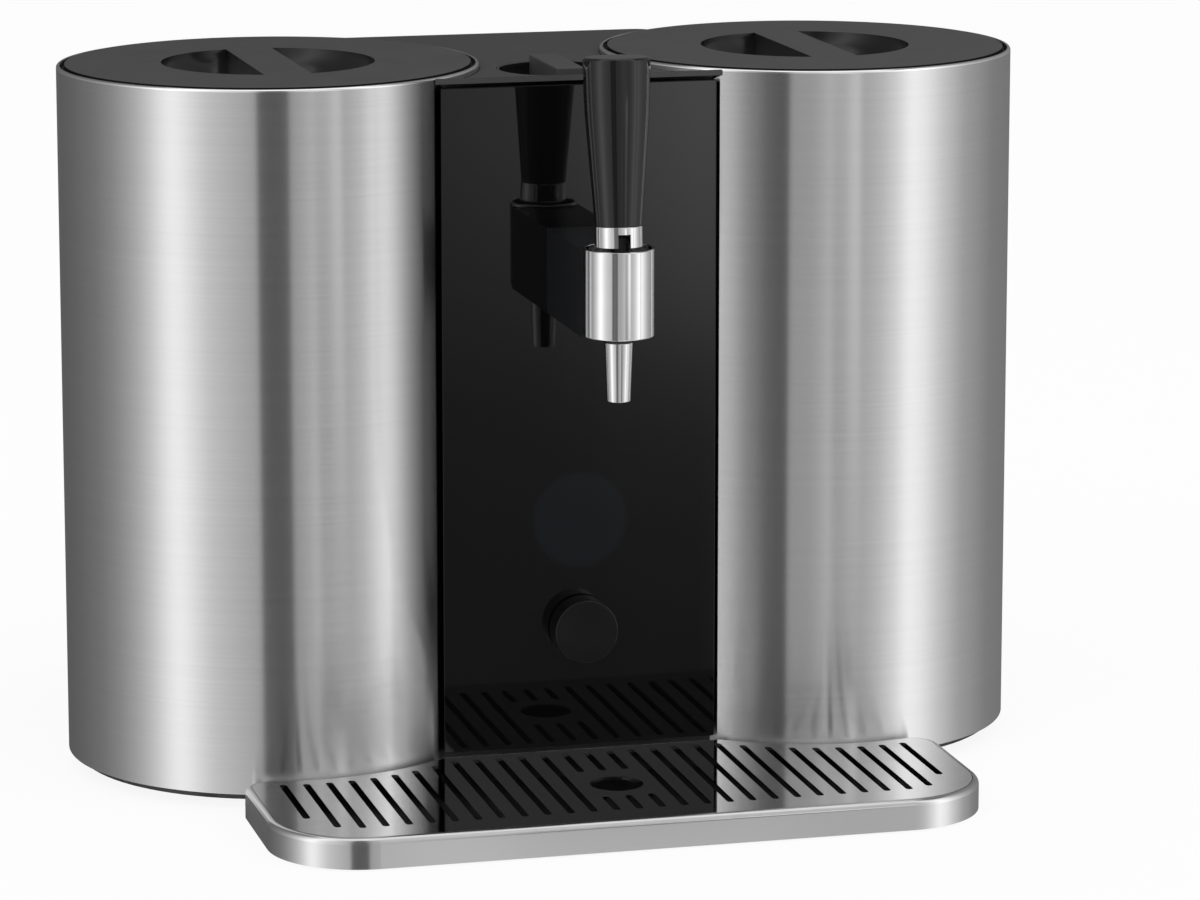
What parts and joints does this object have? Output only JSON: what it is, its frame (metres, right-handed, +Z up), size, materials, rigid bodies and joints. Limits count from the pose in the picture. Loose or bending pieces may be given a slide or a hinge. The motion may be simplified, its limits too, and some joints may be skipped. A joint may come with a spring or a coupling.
{
  "type": "capsule beer brewer",
  "caption": "Counter-top capsule beer brewer: steel drums with lift-off lids, a glass column with a lever tap and a dial, a capsule hatch and a slotted drip tray.",
  "frame": {"origin": "on the table, under the middle of the whole machine", "axes": "+X to the user's right, +Y towards the back, +Z up; the tap faces -Y"},
  "size_m": [0.515, 0.449, 0.3929],
  "materials": {
    "brushed_steel": "brushed round the drums, satin",
    "grille_steel": "polished, near mirror",
    "keg_steel": "satin",
    "lid_plastic": "fine matt grain",
    "dark_plastic": "fine matt grain",
    "gloss_black": "polished",
    "black_glass": "polished, black printed behind",
    "chrome": "polished",
    "steel": "plain",
    "rubber": "matt",
    "foam": "expanded beads",
    "well_plastic": "smooth satin",
    "clear_plastic": "clear",
    "aluminium": "mill finish",
    "circuit_board": "solder mask",
    "screen": "dark screen",
    "hose": "food-grade silicone",
    "painted_black": "semi-gloss enamel",
    "capsule_shell": "moulded cup with a foil top"
  },
  "bodies": {
    "chassis": {"base_pan": "dark_plastic", "feet": "rubber", "left_drum_sleeve": "brushed_steel", "right_drum_sleeve": "brushed_steel", "left_well": "well_plastic", "right_well": "well_plastic", "keg_foam": "foam", "cooling_jacket": "aluminium", "outlet_couplers": "dark_plastic", "front_frame": "dark_plastic", "front_glass": "black_glass", "display_module": "screen", "control_board": "circuit_board", "dial_encoder": "steel", "top_deck": "lid_plastic", "capsule_well": "well_plastic", "tap_bracket": "gloss_black", "tap_shank": "steel", "tap_nut": "steel", "tap_sleeve": "chrome", "tap_insert": "dark_plastic", "tap_nozzle": "chrome", "spout_seal": "rubber", "rear_cover": "dark_plastic", "cover_screws": "steel", "compressor": "painted_black", "compressor_mounts": "rubber", "condenser": "aluminium", "fan_shroud": "dark_plastic", "water_pump": "dark_plastic", "hoses": "hose", "valve_block": "well_plastic", "power_board": "circuit_board", "power_inlet": "dark_plastic"},
    "left_lid": {"left_lid_plug": "well_plastic", "left_lid_seal": "hose"},
    "left_lid_top": {"left_lid_cap": "lid_plastic"},
    "right_lid": {"right_lid_plug": "well_plastic", "right_lid_seal": "hose"},
    "right_lid_top": {"right_lid_cap": "lid_plastic"},
    "keg": {"fermenting_keg": "keg_steel", "keg_valve": "steel"},
    "keg_closure": {"keg_cap": "dark_plastic"},
    "tank": {"water_tank": "clear_plastic", "tank_valve": "steel"},
    "hatch": {"hatch_plug": "well_plastic"},
    "hatch_top": {"hatch_cap": "lid_plastic"},
    "carrier": {"capsule_carrier": "dark_plastic", "capsules": "capsule_shell"},
    "tap_lever": {"lever_ferrule": "chrome", "lever_pin": "steel", "lever_handle": "gloss_black"},
    "tap_valve": {"tap_plunger": "steel"},
    "dial_shaft": {"dial_stem": "steel"},
    "dial": {"dial_knob": "gloss_black"},
    "tray": {"tray_band": "brushed_steel", "tray_pan": "dark_plastic"},
    "tray_grille": {"drip_grille": "grille_steel"},
    "fan_wheel": {"fan_impeller": "dark_plastic"}
  },
  "joints": [
    {"name": "left_lid_lift", "type": "slide", "parent": "chassis", "child": "left_lid", "axis": [0, 0, 1], "range_m": [0, 0.4]},
    {"name": "left_lid_turn", "type": "hinge", "parent": "left_lid", "child": "left_lid_top", "pos_m": [-0.14685, 0.0055, 0.375], "axis": [0, 0, 1], "range_deg": [0, 45]},
    {"name": "keg_lift", "type": "slide", "parent": "chassis", "child": "keg", "axis": [0, 0, 1], "range_m": [0, 0.32]},
    {"name": "keg_cap_turn", "type": "hinge", "parent": "keg", "child": "keg_closure", "pos_m": [-0.14685, 0.0055, 0.321], "axis": [0, 0, 1], "range_deg": [0, 90]},
    {"name": "right_lid_lift", "type": "slide", "parent": "chassis", "child": "right_lid", "axis": [0, 0, 1], "range_m": [0, 0.4]},
    {"name": "right_lid_turn", "type": "hinge", "parent": "right_lid", "child": "right_lid_top", "pos_m": [0.14685, 0.0055, 0.375], "axis": [0, 0, 1], "range_deg": [0, 45]},
    {"name": "tank_lift", "type": "slide", "parent": "chassis", "child": "tank", "axis": [0, 0, 1], "range_m": [0, 0.32]},
    {"name": "hatch_lift", "type": "slide", "parent": "chassis", "child": "hatch", "axis": [0, 0, 1], "range_m": [0, 0.12]},
    {"name": "hatch_turn", "type": "hinge", "parent": "hatch", "child": "hatch_top", "pos_m": [0, -0.0305, 0.371], "axis": [0, 0, 1], "range_deg": [0, 45]},
    {"name": "carrier_lift", "type": "slide", "parent": "chassis", "child": "carrier", "axis": [0, 0, 1], "range_m": [0, 0.09]},
    {"name": "tap_lever_pull", "type": "hinge", "parent": "chassis", "child": "tap_lever", "pos_m": [0, -0.1593, 0.3], "axis": [1, 0, 0], "range_deg": [0, 30]},
    {"name": "tap_valve_lift", "type": "slide", "parent": "chassis", "child": "tap_valve", "axis": [0, 0, 1], "range_m": [0, 0.0031]},
    {"name": "dial_press", "type": "slide", "parent": "chassis", "child": "dial_shaft", "axis": [0, 1, 0], "range_m": [0, 0.0012], "stiffness_N_per_m": 400, "springref_m": -0.002},
    {"name": "dial_turn", "type": "hinge", "parent": "dial_shaft", "child": "dial", "pos_m": [0, -0.0802, 0.082], "axis": [0, 1, 0], "continuous": true},
    {"name": "tray_slide", "type": "slide", "parent": "chassis", "child": "tray", "axis": [0, -1, 0], "range_m": [0, 0.16]},
    {"name": "grille_lift", "type": "slide", "parent": "tray", "child": "tray_grille", "axis": [0, 0, 1], "range_m": [0, 0.04]},
    {"name": "fan_spin", "type": "hinge", "parent": "chassis", "child": "fan_wheel", "pos_m": [-0.124, 0.1671, 0.122], "axis": [0, 1, 0], "continuous": true}
  ],
  "couplings": [
    {"joint": "keg_lift", "follows": "left_lid_lift", "ratio": 0.8},
    {"joint": "tank_lift", "follows": "right_lid_lift", "ratio": 0.8},
    {"joint": "carrier_lift", "follows": "hatch_lift", "ratio": 0.75},
    {"joint": "tap_valve_lift", "follows": "tap_lever_pull", "m_per_rad": 0.00573}
  ]
}
